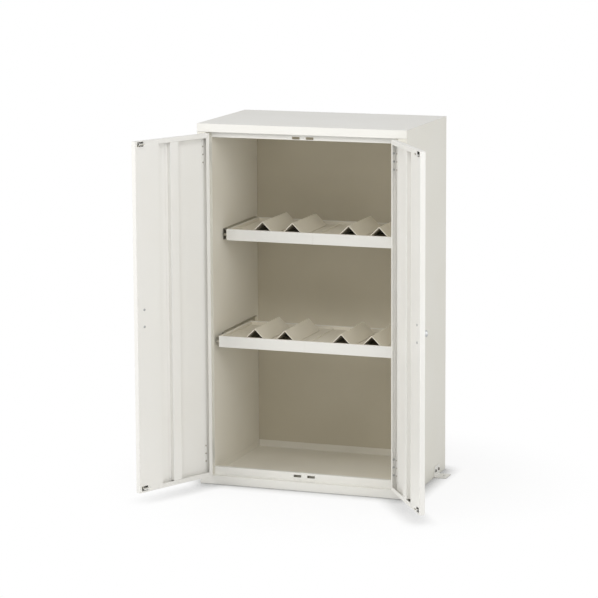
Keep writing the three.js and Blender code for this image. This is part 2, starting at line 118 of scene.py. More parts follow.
floor_reach = 30
floor_drop = 0.0002
shadow_centre = (0.1, -0.05, 0)
shadow_reach = 1.1
shadow_core = 0.45 * shadow_reach
contact_reach = 0.08
contact_shut = 0.6
contact_open = 1.0
contact_white = 0.05
near_white = 0.86
paper, tree = new_material("matt_white_paper")
place = add_node(tree, "ShaderNodeTexCoord")
away = add_node(tree, "ShaderNodeVectorMath", {0: place.outputs["Object"], 1: shadow_centre},
                operation="DISTANCE")
painted_contact_shadow = add_node(tree, "ShaderNodeAmbientOcclusion", {
    "Color": linear("#FFFFFF"), "Distance": contact_reach,
}, samples=4)
contact = add_node(tree, "ShaderNodeMapRange", {
    "Value": painted_contact_shadow.outputs["AO"],
    "From Min": contact_shut,
    "From Max": contact_open,
    "To Min": contact_white,
    "To Max": near_white,
})
fade = add_node(tree, "ShaderNodeMapRange", {
    "Value": away.outputs["Value"],
    "From Min": shadow_core,
    "From Max": shadow_reach,
    "To Min": contact.outputs["Result"],
}, interpolation_type="SMOOTHSTEP")
white_share = add_node(tree, "ShaderNodeMath", {
    0: seen_directly(tree),
    1: fade.outputs["Result"],
}, operation="MULTIPLY")
# Painted contact shadow: the paper's own colour is darkened where the cabinet is close.
matt = add_node(tree, "ShaderNodeBsdfDiffuse", {"Color": painted_contact_shadow.outputs["Color"]})
plain_white = add_node(tree, "ShaderNodeEmission", {"Color": (1, 1, 1, 1), "Strength": 1})
either = add_node(tree, "ShaderNodeMixShader", {
    0: white_share.outputs[0],
    1: matt.outputs[0],
    2: plain_white.outputs[0],
})
add_node(tree, "ShaderNodeOutputMaterial", {"Surface": either.outputs[0]})
floor_mesh = bpy.data.meshes.new("paper_floor")
floor_mesh.from_pydata(
    [(x * floor_reach, y * floor_reach, 0) for x, y in ((-1, -1), (1, -1), (1, 1), (-1, 1))],
    [],
    [(0, 1, 2, 3)],
)
floor_mesh.materials.append(paper)
floor = bpy.data.objects.new("paper_floor", floor_mesh)
floor.location.z = -floor_drop
bpy.context.scene.collection.objects.link(floor)


# The light comes from four soft windows in a plain white room: one to the left, one to the
# right, one further round on the right, and a high one that reaches into the bays.
def soft_window(name, place, aim, size, power):
    data = bpy.data.lights.new(name, "AREA")
    data.shape = "RECTANGLE"
    data.size, data.size_y = size
    data.energy = power
    lamp = bpy.data.objects.new(name, data)
    lamp.location = place
    lamp.rotation_euler = (Vector(aim) - Vector(place)).to_track_quat("-Z", "Y").to_euler()
    bpy.context.scene.collection.objects.link(lamp)


cabinet_middle = (0, 0, 0.8)
bay_middle = (0, 0, 0.9)
square_window = (2.4, 2.4)
soft_window("left_window", (-3.8, -3.8, 2.8), cabinet_middle, square_window, 100)
soft_window("right_window", (3.9, -3.7, 2.6), cabinet_middle, square_window, 40)
soft_window("side_window", (5.0, -2.2, 2.4), cabinet_middle, square_window, 34)
soft_window("high_window", (0.8, -3.9, 4.6), bay_middle, (2.2, 1.8), 50)
room_light = 0.5
world = bpy.data.worlds.new("white_room")
world.use_nodes = True
tree = world.node_tree
tree.nodes.clear()
lighting = add_node(tree, "ShaderNodeBackground", {
    "Color": linear("#FFFFFF"), "Strength": room_light,
})
backdrop = add_node(tree, "ShaderNodeBackground", {"Color": linear("#FFFFFF"), "Strength": 1})
either = add_node(tree, "ShaderNodeMixShader", {
    0: seen_directly(tree),
    1: lighting.outputs[0],
    2: backdrop.outputs[0],
})
add_node(tree, "ShaderNodeOutputWorld", {"Surface": either.outputs[0]})
bpy.context.scene.world = world
bpy.context.scene.view_settings.view_transform = "Standard"


# The roof is one sheet of 1.2 mm steel, folded down into a deep lip in front and a short
# one behind. It is powder coated ivory: a smooth, slightly glossy skin with a fine orange
# peel, a little thinner and yellower on the folds. Shapes are drawn in millimetres.
gauge = 1.2
bend_radius = 1.0
bend_steps = 4
body_low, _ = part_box("left_side_panel")
_, body_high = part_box("right_side_panel")
_, roof_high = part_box("top_panel")
half = body_high.x * 1000
front = body_low.y * 1000
back = body_high.y * 1000
height = roof_high.z * 1000
lip_height = 34
lip_return = 15
rear_drop = 20
lip_under = height - lip_height
under_top = height - gauge


def on_edges(tree, width, sharp, share):
    """Zero on flat faces, rising to a share on folds and edges of this width."""
    flat = 0.98
    rounded = add_node(tree, "ShaderNodeBevel", {"Radius": width}, samples=4)
    facing = add_node(tree, "ShaderNodeNewGeometry")
    agreement = add_node(tree, "ShaderNodeVectorMath", {
        0: rounded.outputs[0], 1: facing.outputs["Normal"],
    }, operation="DOT_PRODUCT")
    edge = add_node(tree, "ShaderNodeMapRange", {
        "Value": agreement.outputs["Value"],
        "From Min": flat,
        "From Max": sharp,
        "To Max": share,
    })
    return edge.outputs["Result"]


def powder_coat(name, shade, warm_shade, gloss):
    """Baked powder paint: soft, even light with a faint sheen and broad, faint clouds. Its
    orange peel is drawn at 3 mm, as coarse as such paint has it, so that near views show it."""
    material, tree = new_material(name)
    mm = 0.001
    cloud_size = 220 * mm
    peel_size = 3 * mm
    peel_depth = 0.05 * mm
    fold_width = 1.6 * mm
    thin_shade = "#C9C5B8"
    thin_share = 0.35
    gloss_change = 0.06
    place = add_node(tree, "ShaderNodeTexCoord")
    clouds = add_node(tree, "ShaderNodeTexNoise", {
        "Vector": place.outputs["Object"], "Scale": 1 / cloud_size, "Detail": 2.0,
    })
    shades = add_node(tree, "ShaderNodeMix", {
        0: clouds.outputs[0], 6: linear(shade), 7: linear(warm_shade),
    }, data_type="RGBA")
    thin_coat = add_node(tree, "ShaderNodeMix", {
        0: on_edges(tree, fold_width, sharp=0.75, share=thin_share),
        6: shades.outputs[2],
        7: linear(thin_shade),
    }, data_type="RGBA")
    peel = add_node(tree, "ShaderNodeTexNoise", {
        "Vector": place.outputs["Object"], "Scale": 1 / peel_size, "Detail": 2.0,
    })
    relief = add_node(tree, "ShaderNodeBump", {
        "Height": peel.outputs[0], "Strength": 0.4, "Distance": peel_depth,
    })
    sheen = add_node(tree, "ShaderNodeMapRange", {
        "Value": clouds.outputs[0],
        "To Min": gloss - gloss_change,
        "To Max": gloss + gloss_change,
    })
    coat = add_node(tree, "ShaderNodeBsdfPrincipled", {
        "Base Color": thin_coat.outputs[2],
        "Roughness": sheen.outputs["Result"],
        "Normal": relief.outputs[0],
        "IOR": 1.5,
    })
    add_node(tree, "ShaderNodeOutputMaterial", {"Surface": coat.outputs[0]})
    return material


def bent_outline(path, thickness, side, radius=bend_radius):
    """Outline of a sheet along a path, on its left (side 1) or right (-1), with round folds."""
    points = [Vector(p) for p in path]
    near, far = [], []
    for i, point in enumerate(points):
        before = (point - points[i - 1]).normalized() if i else None
        after = (points[i + 1] - point).normalized() if i + 1 < len(points) else None
        if before is None or after is None:
            along = before or after
            near.append(point)
            far.append(point + side * thickness * Vector((-along.y, along.x)))
            continue
        angle = math.atan2(before.cross(after), before.dot(after))
        turn = math.copysign(1, angle)
        near_radius, far_radius = radius, radius + thickness
        if turn == side:
            near_radius, far_radius = far_radius, near_radius
        start = point - before * near_radius * math.tan(abs(angle) / 2)
        spoke = turn * Vector((before.y, -before.x))
        centre = start - spoke * near_radius
        for step in range(bend_steps + 1):
            arm = Matrix.Rotation(angle * step / bend_steps, 2) @ spoke
            near.append(centre + arm * near_radius)
            far.append(centre + arm * far_radius)
    return near + far[::-1]


def drawn_out(outline, axis, start, end):
    """Solid with this outline (YZ, XZ or XY) between two places on the X, Y or Z axis."""
    place = {
        "x": lambda a, b, t: (t, a, b),
        "y": lambda a, b, t: (a, t, b),
        "z": lambda a, b, t: (a, b, t),
    }[axis]
    shape = bmesh.new()
    first, last = [[shape.verts.new(place(a, b, t)) for a, b in outline] for t in (start, end)]
    for i in range(len(outline)):
        j = (i + 1) % len(outline)
        shape.faces.new((first[i], first[j], last[j], last[i]))
    shape.faces.new(first[::-1])
    shape.faces.new(last)
    bmesh.ops.recalc_face_normals(shape, faces=shape.faces)
    return shape


def as_object(name, shape):
    mesh = bpy.data.meshes.new(name)
    shape.to_mesh(mesh)
    shape.free()
    made = bpy.data.objects.new(name, mesh)
    bpy.context.scene.collection.objects.link(made)
    return made


def rounded_edges(shape, width=0.3, least_angle=50, steps=2):
    bmesh.ops.dissolve_limit(shape, angle_limit=math.radians(0.5), verts=shape.verts,
                             edges=shape.edges)
    limit = math.radians(least_angle)
    sharp = [e for e in shape.edges if e.is_manifold and e.calc_face_angle(0) > limit]
    bmesh.ops.bevel(shape, geom=sharp, offset=width, segments=steps, profile=0.5,
                    affect="EDGES", clamp_overlap=True)
    return shape


def set_piece(name, shape, material, body, slot, *nodes, turn=None):
    """Turns a shape in millimetres into a piece that rides on a body."""
    shape.transform(Matrix.Scale(0.001, 4) @ (turn or Matrix()))
    for face in shape.faces:
        face.smooth = True
    piece = as_object(name, shape)
    piece.data.set_sharp_from_angle(angle=math.radians(35))
    piece.data.materials.append(material)
    flat_first = piece.modifiers.new("flat_faces_first", "WEIGHTED_NORMAL")
    flat_first.keep_sharp = True
    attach(piece, body)
    if nodes:
        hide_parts(*nodes)
    return piece


ivory_coat = powder_coat("ivory_powder_coat", "#EAE9E4", "#E8E6DF", 0.42)
roof_path = [
    (front + lip_return, lip_under),
    (front, lip_under),
    (front, height),
    (back, height),
    (back, height - rear_drop),
]
roof = drawn_out(bent_outline(roof_path, gauge, -1), "x", -half, half)
set_piece("roof_sheet", rounded_edges(roof), ivory_coat, "cabinet", "ivory_paint", "top_panel")


# Each side is one folded sheet: the outer wall, the front stile with the hinges, the
# reveal behind it and the narrow strip that the door closes on. Its corners are notched
# for the roof's lip and the base rail, and the panels are spot welded together.
stile_width = 36
door_reveal = 27
stop_width = 16
rear_flange = 22
base_height = 36
clear = 0.3
over = 5
stile_inner = half - stile_width
opening_half = stile_inner - stop_width
stop_face = front + door_reveal
inner_wall = half - gauge


def add_block(shape, xs, ys, zs):
    v = [shape.verts.new((x, y, z)) for x in xs for y in ys for z in zs]
    for side in ((0, 1, 3, 2), (4, 6, 7, 5), (0, 4, 5, 1), (2, 3, 7, 6), (0, 2, 6, 4), (1, 5, 7, 3)):
        shape.faces.new([v[i] for i in side])


def cut_away(shape, tool_shape):
    body = as_object("worked_body", shape)
    tool = as_object("working_tool", tool_shape)
    change = body.modifiers.new("work", "BOOLEAN")
    change.operation = "DIFFERENCE"
    change.solver = "EXACT"
    change.object = tool
    changed = body.evaluated_get(bpy.context.evaluated_depsgraph_get()).to_mesh()
    result = bmesh.new()
    result.from_mesh(changed)
    for spent in (body, tool):
        mesh = spent.data
        bpy.data.objects.remove(spent)
        bpy.data.meshes.remove(mesh)
    return result


def cut_blocks(shape, blocks):
    for xs, ys, zs in blocks:
        cutter = bmesh.new()
        add_block(cutter, xs, ys, zs)
        shape = cut_away(shape, cutter)
    return shape


def span(hand, near, far):
    return (near, far) if hand > 0 else (-far, -near)


def around(middle, reach):
    return (middle - reach, middle + reach)


# Painted shade: the same ivory paint, written a little darker and warmer on the sides, where less
# light falls.
shaded_side_coat = powder_coat("shaded_side_ivory_powder_coat", "#E6E4DB", "#E5E2D7", 0.42)
sides = ((-1, "left"), (1, "right"))
everywhere = (-2 * half, 2 * half)
for hand, side in sides:
    side_path = [
        (hand * (half - rear_flange), back),
        (hand * half, back),
        (hand * half, front),
        (hand * stile_inner, front),
        (hand * stile_inner, stop_face),
        (hand * opening_half, stop_face),
    ]
    wall = drawn_out(bent_outline(side_path, gauge, -hand), "z", 0, under_top)
    behind_lip = (front - over, front + gauge + clear)
    wall = cut_blocks(wall, [
        (everywhere, behind_lip, (lip_under - clear, height + over)),
        (everywhere, (front - over, front + lip_return + clear),
         (lip_under - clear, lip_under + gauge + clear)),
        (everywhere, (back - gauge - clear, back + over),
         (height - rear_drop - clear, height + over)),
        (everywhere, behind_lip, (-over, base_height + clear)),
        (span(hand, 0, inner_wall - clear), (front - over, stop_face + gauge + clear),
         (-over, base_height + clear)),
    ])
    set_piece(f"{side}_side_sheet", rounded_edges(wall), shaded_side_coat, "cabinet", "ivory_paint",
              f"{side}_side_panel")


# The inner walls and the floor pan line the cabinet. They are plain folded sheets in the
# same kind of paint, with a duller skin. Their warmer, darker tone is painted shade: the
# light bounced inside the cabinet written into the paint.
shaded_inner_coat = powder_coat("shaded_warm_ivory_powder_coat", "#E8E4D9", "#E4DFD1", 0.5)
sheet_overlap = 60
liner_flange = 12
pan_lip = 30
stop_return = 18
back_inner = back - 2 * gauge
for hand, side in sides:
    liner_front = stop_face + gauge
    liner_path = [
        (hand * (opening_half + liner_flange), liner_front),
        (hand * opening_half, liner_front),
        (hand * opening_half, back_inner),
        (hand * (opening_half + liner_flange), back_inner),
    ]
    lining = drawn_out(bent_outline(liner_path, gauge, -hand), "z", base_height, under_top)
    set_piece(f"{side}_inner_wall", rounded_edges(lining), shaded_inner_coat, "cabinet", "inner_paint",
              f"{side}_liner")


def swept_pan(low, high, path, thickness, corner=2.0, least_corner=0.2, corner_steps=3):
    """A sheet pan: a path of (distance in from the edge, height) swept round a rectangle."""
    shape = bmesh.new()
    rings = []
    for inset, z in bent_outline(path, thickness, 1):
        step_in = Vector((inset, inset))
        x0, y0 = Vector(low) + step_in
        x1, y1 = Vector(high) - step_in
        radius = max(corner - inset, least_corner)
        ring = []
        for cx, cy, first in ((x1, y1, 0), (x0, y1, 1), (x0, y0, 2), (x1, y0, 3)):
            inward_x = -radius if cx == x1 else radius
            inward_y = -radius if cy == y1 else radius
            middle = Vector((cx + inward_x, cy + inward_y))
            for step in range(corner_steps + 1):
                angle = math.pi / 2 * (first + step / corner_steps)
                x, y = middle + radius * Vector((math.cos(angle), math.sin(angle)))
                ring.append(shape.verts.new((x, y, z)))
        rings.append(ring)
    for ring, following in zip(rings, rings[1:]):
        for i in range(len(ring)):
            j = (i + 1) % len(ring)
            shape.faces.new((ring[i], ring[j], following[j], following[i]))
    shape.faces.new(rings[0])
    shape.faces.new(rings[-1][::-1])
    bmesh.ops.recalc_face_normals(shape, faces=shape.faces)
    return shape


pan_nose = stop_face + stop_return + clear
pan_half = opening_half - clear
pan_path = [
    (sheet_overlap, base_height + gauge),
    (gauge, base_height + gauge),
    (gauge, base_height + pan_lip),
]
floor_sheet = swept_pan((-pan_half, pan_nose), (pan_half, back_inner - clear), pan_path, gauge)
set_piece("floor_sheet", rounded_edges(floor_sheet), shaded_inner_coat, "cabinet", "inner_paint",
          "floor_pan")


# The back is one flat sheet of 1.2 mm steel inside the sides' rear flanges, held by a row of
# flat rivets on each edge. Its outside has the ivory coat. Its inside has a dull, warm grey
# one that is painted shade: the bays' shade written into the paint, so it throws little
# light back and makes the bays look deep.
rivet_pitch = 120
rivet_radius = 4
rivet_rise = 0.9
rivet_inset = 40
rivet_edge = 9
shaded_back_coat = powder_coat("shaded_warm_grey_powder_coat", "#CFC7B3", "#C6BEA9", 0.58)


def lathed(profile, steps=24):
    """Solid turned about Z from a profile of (radius, height), closed on the axis."""
    shape = bmesh.new()
    rings = []
    for radius, z in profile:
        if radius == 0:
            rings.append([shape.verts.new((0, 0, z))])
            continue
        ring = []
        for i in range(steps):
            angle = math.tau * i / steps
            ring.append(shape.verts.new((radius * math.cos(angle), radius * math.sin(angle), z)))
        rings.append(ring)
    for ring, following in zip(rings, rings[1:]):
        for i in range(steps):
            j = (i + 1) % steps
            corners = [ring[i % len(ring)], ring[j % len(ring)],
                       following[j % len(following)], following[i % len(following)]]
            shape.faces.new(list(dict.fromkeys(corners)))
    bmesh.ops.recalc_face_normals(shape, faces=shape.faces)
    return shape


def pointing(direction, place):
    """The move that stands a shape drawn about Z on a place, along a direction."""
    turned = Vector(direction).to_track_quat("Z", "Y").to_matrix().to_4x4()
    return Matrix.Translation(place) @ turned


def add_copy(shape, part, move=None):
    mesh = bpy.data.meshes.new("copied_part")
    part.to_mesh(mesh)
    mesh.transform(move or Matrix())
    shape.from_mesh(mesh)
    bpy.data.meshes.remove(mesh)


def evenly(low, high, pitch):
    """Places from low to high with even steps of about one pitch."""
    count = round((high - low) / pitch)
    return [low + i * (high - low) / count for i in range(count + 1)]


back_low, back_high = [corner * 1000 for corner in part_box("back_panel")]
back_sheet = bmesh.new()
add_block(back_sheet, (back_low.x, back_high.x), (back_low.y, back_high.y),
          (back_low.z, back_high.z))
bmesh.ops.recalc_face_normals(back_sheet, faces=back_sheet.faces)
back_sheet = rounded_edges(back_sheet)
# The inside faces take the painted-shade grey coat.
for face in back_sheet.faces:
    if face.normal.y < -0.5:
        face.material_index = 1
rivet = lathed([(0, -0.3), (rivet_radius, -0.3), (rivet_radius, 0.2), (rivet_radius * 0.85, 0.65),
                (rivet_radius * 0.45, rivet_rise), (rivet_radius * 0.3, 0.5), (0, 0.5)])
rivet_places = []
for z in evenly(back_low.z + rivet_inset, back_high.z - rivet_inset, rivet_pitch):
    rivet_places += [(hand * (half - rear_flange - rivet_edge), z) for hand in (-1, 1)]
for x in evenly(back_low.x + 2 * rivet_inset, back_high.x - 2 * rivet_inset, rivet_pitch):
    rivet_places.append((x, height - rear_drop - rivet_edge))
for x, z in rivet_places:
    add_copy(back_sheet, rivet, pointing((0, 1, 0), (x, back_high.y, z)))
rivet.free()
back_piece = set_piece("back_sheet", back_sheet, ivory_coat, "cabinet", "inner_paint", "back_panel")
back_piece.data.materials.append(shaded_back_coat)


# The stop strips close the gaps above and below the opening. The doors close on them, and
# the latch hooks pass through their two slots, whose edges are punched sharp.
top_stop_height = 23
bottom_stop_height = 32
catch_from_centre = 29
catch_width = 32
catch_height = 10.5
top_stop_under = lip_under - top_stop_height
bottom_stop_top = base_height + bottom_stop_height
top_catch_rise = 8
bottom_catch_rise = 18.5
top_catch = top_stop_under + top_catch_rise
bottom_catch = base_height + bottom_catch_rise
stop_strips = (
    ("top", top_stop_under, under_top, top_catch, -1),
    ("bottom", bottom_stop_top, base_height, bottom_catch, 1),
)
for end, lip_z, far_z, catch_z, sheet_side in stop_strips:
    strip_path = [(stop_face + stop_return, lip_z), (stop_face, lip_z), (stop_face, far_z)]
    outline = bent_outline(strip_path, gauge, sheet_side)
    strip = drawn_out(outline, "x", -opening_half + clear, opening_half - clear)
    strip = cut_blocks(strip, [
        (around(hand * catch_from_centre, catch_width / 2), around(stop_face, over),
         around(catch_z, catch_height / 2))
        for hand in (-1, 1)
    ])
    set_piece(f"{end}_stop_sheet", rounded_edges(strip), ivory_coat, "cabinet", "ivory_paint",
              f"{end}_stop_strip")


# The base is a frame of folded rails under the floor pan: a wide ledge in front that shows
# below the doors, a channel on the other sides, and a hat section across the middle.
base_ledge = 60
base_return = 18
rail_flange = 60
cross_half = 30
cross_flange = 15
rail_run = (front + base_ledge + clear, back_inner - rail_flange - clear)
ledge_path = [
    (front + base_return, 0),
    (front, 0),
    (front, base_height),
    (front + base_ledge, base_height),
    (front + base_ledge, base_height - base_return),
]
ledge = drawn_out(bent_outline(ledge_path, gauge, -1), "x", -half, half)
ledge = cut_blocks(ledge, [
    (span(hand, inner_wall - clear, half + over), (front + gauge, front + base_ledge + over),
     (-over, height))
    for hand in (-1, 1)
])
set_piece("base_front_ledge", rounded_edges(ledge), ivory_coat, "cabinet", "ivory_paint",
          "base_front_rail")
rear_path = [
    (back_inner - rail_flange, 0),
    (back_inner, 0),
    (back_inner, base_height),
    (back_inner - rail_flange, base_height),
]
rear_channel = drawn_out(bent_outline(rear_path, gauge, 1), "x", -inner_wall + clear,
                         inner_wall - clear)
set_piece("base_rear_channel", rounded_edges(rear_channel), ivory_coat, "cabinet",
          "ivory_paint", "base_rear_rail")
for hand, side in sides:
    channel_path = [
        (hand * (inner_wall - rail_flange), 0),
        (hand * inner_wall, 0),
        (hand * inner_wall, base_height),
        (hand * (inner_wall - rail_flange), base_height),
    ]
    channel = drawn_out(bent_outline(channel_path, gauge, hand), "y", *rail_run)
    set_piece(f"base_{side}_channel", rounded_edges(channel), ivory_coat, "cabinet",
              "ivory_paint", f"base_{side}_rail")
cross_z = base_height - gauge
cross_path = [
    (-cross_half - cross_flange, cross_z),
    (-cross_half, cross_z),
    (-cross_half, 0),
    (cross_half, 0),
    (cross_half, cross_z),
    (cross_half + cross_flange, cross_z),
]
cross_hat = drawn_out(bent_outline(cross_path, gauge, 1), "y", *rail_run)
set_piece("base_cross_hat", rounded_edges(cross_hat), ivory_coat, "cabinet", "ivory_paint",
          "base_cross_member")


# An angle bracket of 3.2 mm steel, painted with the cabinet, stands at the rear foot of each
# side, with a hole for a floor bolt. Two hexagon bolts of dark phosphated steel hold it.
def plated_steel(name, shade, cloud_shade, gloss, grain_depth=0.02):
    """Plated steel: a metal shine broken by faint clouds and paler where edges are rubbed.
    Its grain is far finer than the picture shows, so it is drawn coarser, at 0.8 mm."""
    material, tree = new_material(name)
    mm = 0.001
    cloud_size = 14 * mm
    grain_size = 0.8 * mm
    wear_width = 0.8 * mm
    bare_shade = "#E4E4E2"
    bare_share = 0.6
    place = add_node(tree, "ShaderNodeTexCoord")
    clouds = add_node(tree, "ShaderNodeTexNoise", {
        "Vector": place.outputs["Object"], "Scale": 1 / cloud_size, "Detail": 4.0,
    })
    plating = add_node(tree, "ShaderNodeMix", {
        0: clouds.outputs[0], 6: linear(shade), 7: linear(cloud_shade),
    }, data_type="RGBA")
    rubbed = add_node(tree, "ShaderNodeMix", {
        0: on_edges(tree, wear_width, sharp=0.7, share=bare_share),
        6: plating.outputs[2],
        7: linear(bare_shade),
    }, data_type="RGBA")
    grain = add_node(tree, "ShaderNodeTexNoise", {
        "Vector": place.outputs["Object"], "Scale": 1 / grain_size, "Detail": 3.0,
    })
    relief = add_node(tree, "ShaderNodeBump", {
        "Height": grain.outputs[0], "Strength": 0.3, "Distance": grain_depth * mm,
    })
    dullness = add_node(tree, "ShaderNodeMapRange", {
        "Value": clouds.outputs[0], "To Min": gloss - 0.08, "To Max": gloss + 0.1,
    })
    metal = add_node(tree, "ShaderNodeBsdfPrincipled", {
        "Base Color": rubbed.outputs[2],
        "Roughness": dullness.outputs["Result"],
        "Normal": relief.outputs[0],
        "Metallic": 1.0,
    })
    add_node(tree, "ShaderNodeOutputMaterial", {"Surface": metal.outputs[0]})
    return material


def turned_bar(radius, start, end, steps=24, soft=0):
    """Round bar along Z between two heights, with its rims softened."""
    rim = [(radius, start), (radius, end)]
    if soft:
        rim = [
            (radius - soft, start), (radius, start + soft),
            (radius, end - soft), (radius - soft, end),
        ]
    return lathed([(0, start), *rim, (0, end)], steps)


def hex_bolt(across, rise, washer_radius, washer=1.2, soft=0.2, chamfer=0.7):
    """Hexagon head on a washer, with its seat at zero, along Z."""
    shape = turned_bar(washer_radius, 0, washer, soft=soft)
    corner = across / math.sqrt(3)
    head = lathed([
        (0, washer), (corner, washer), (corner, rise - chamfer), (across / 2, rise), (0, rise),
    ], steps=6)
    add_copy(shape, head)
    head.free()
    return shape


# Dark grey and dull, it shows as a matt spot on the pale side.
phosphated_steel = plated_steel("phosphated_steel", "#75726C", "#67645E", 0.45)
anchor_gauge = 3.2
anchor_fold = 2.0
anchor_start = front + 385
anchor_length = 70
anchor_leg = 45
anchor_foot = 52
anchor_hole = 6.5
bore_length = 8
bolt_across = 10
bolt_pitch = 40
bolt_rise = 26
bolt_reach = 4
anchor_middle = anchor_start + anchor_length / 2
for hand, side in sides:
    angle_path = [(hand * (half + anchor_foot), 0), (hand * half, 0), (hand * half, anchor_leg)]
    outline = bent_outline(angle_path, anchor_gauge, -hand, anchor_fold)
    bracket = drawn_out(outline, "y", anchor_start, anchor_start + anchor_length)
    hole_place = (hand * (half + anchor_foot / 2 + anchor_gauge), anchor_middle, -1)
    bore = turned_bar(anchor_hole, 0, bore_length, steps=32)
    bore.transform(Matrix.Translation(hole_place))
    bracket = rounded_edges(cut_away(bracket, bore), width=0.5)
    set_piece(f"{side}_anchor_angle", bracket, ivory_coat, "cabinet", "ivory_paint",
              f"{side}_anchor_bracket")
    bolts = bmesh.new()
    bolt = hex_bolt(bolt_across, bolt_reach, anchor_hole)
    for end in (-1, 1):
        seat = (hand * (half + anchor_gauge), anchor_middle + end * bolt_pitch / 2, bolt_rise)
        add_copy(bolts, bolt, pointing((hand, 0, 0), seat))
    bolt.free()
    set_piece(f"{side}_anchor_bolts", bolts, phosphated_steel, "cabinet", "zinc_steel")


# The trays run on telescopic slides rolled from zinc plated strip: an outer member riveted
# to the inner wall, a middle one that follows at half the way, and an inner one on the tray
# with a small stop tab in front. The plating gives a soft grey shine with faint clouds.
tray_setback = 130
tray_rear_gap = 60
tray_height = 46
slide_room = 20
tray_half = opening_half - slide_room
tray_nose = front + tray_setback
tray_depth = (back - front) - tray_setback - tray_rear_gap
slide_height = 46
slide_end = back - 45
slide_fit = 0.3
outer_gauge = 1.5
outer_reach = 10
outer_run = (front + 145, slide_end)
outer_hole = 3.2
middle_gauge = 1.2
middle_gap = 1.5
middle_web = opening_half - outer_gauge - middle_gap
middle_height = slide_height - 2 * (outer_gauge + slide_fit)
middle_lip_gap = 3
middle_reach = middle_web - tray_half - middle_lip_gap
middle_run = (front + 165, slide_end)
middle_hole = 4.0
inner_gauge = 1.5
inner_height = middle_height - 2 * (middle_gauge + slide_fit)
inner_lip_gap = 8.3
inner_reach = middle_web - middle_gauge - inner_lip_gap - tray_half
inner_start = tray_nose + 2
inner_run = (inner_start, tray_nose + tray_depth - 8)
inner_hole = 2.6
rail_holes = 5
tab_reach = 12
tab_height = 9
zinc = plated_steel("zinc_plated_steel", "#C2BEB2", "#B3AEA1", 0.4)
trays = (("upper", 1036, 0), ("lower", 611, 96))


def slide_member(web, reach, tall, middle_z, thickness, run, hole_radius):
    """C section with round folds and a row of punched holes in its web."""
    path = [
        (web + reach, middle_z + tall / 2),
        (web, middle_z + tall / 2),
        (web, middle_z - tall / 2),
        (web + reach, middle_z - tall / 2),
    ]
    side = 1 if reach > 0 else -1
    member = drawn_out(bent_outline(path, thickness, side), "y", *run)
    punches = bmesh.new()
    through = 4
    for i in range(rail_holes):
        y = run[0] + (run[1] - run[0]) * (i + 0.5) / rail_holes
        punch = turned_bar(hole_radius, -through, through, steps=16)
        add_copy(punches, punch, pointing((1, 0, 0), (web, y, middle_z)))
        punch.free()
    return rounded_edges(cut_away(member, punches), width=0.25)


for level, tray_top, pull in trays:
    middle_z = tray_top - tray_height / 2
    for hand, side in sides:
        outer = slide_member(hand * opening_half, -hand * outer_reach, slide_height, middle_z,
                             outer_gauge, outer_run, outer_hole)
        set_piece(f"{level}_{side}_outer_rail", outer, zinc, "cabinet", "zinc_steel",
                  f"{level}_{side}_outer_slide")
        middle = slide_member(hand * middle_web, -hand * middle_reach, middle_height, middle_z,
                              middle_gauge, middle_run, middle_hole)
        set_piece(f"{level}_{side}_middle_rail", middle, zinc, f"{level}_middle_slides",
                  "zinc_steel", f"{level}_{side}_middle_slide",
                  turn=Matrix.Translation((0, -pull / 2, 0)))
        inner = slide_member(hand * tray_half, hand * inner_reach, inner_height, middle_z,
                             inner_gauge, inner_run, inner_hole)
        tab = bmesh.new()
        add_block(tab, span(hand, tray_half + inner_gauge, tray_half + tab_reach),
                  (inner_start, inner_start + inner_gauge), around(middle_z, tab_height / 2))
        add_copy(inner, rounded_edges(tab))
        tab.free()
        set_piece(f"{level}_{side}_inner_rail", inner, zinc, f"{level}_tray", "zinc_steel",
                  f"{level}_{side}_inner_slide", turn=Matrix.Translation((0, -pull, 0)))


# Each tray is a pressed and folded pan with a hollow rim and a sunken deck. It is welded
# from two equal halves, whose joint shows as a fine line in front and a low seam strip on
# the deck. The cradles are plates bent to right-angled ridges, open at their ends.
tray_gauge = 1.5
tray_rim = 12
deck_drop = 14
tail = tray_nose + tray_depth
joint_from_middle = 3
joint_width = 1.2
joint_depth = 0.7
rim_overcut = 0.5
tight_fold = 0.6
seam_half = 5
seam_rise = 3
seam_gauge = 1.2
cradle_gauge = 3
cradle_height = 50.5
cradle_end_gap = 46
cradle_shift = 0.044
ridge_share = 0.35
nearly = 0.1
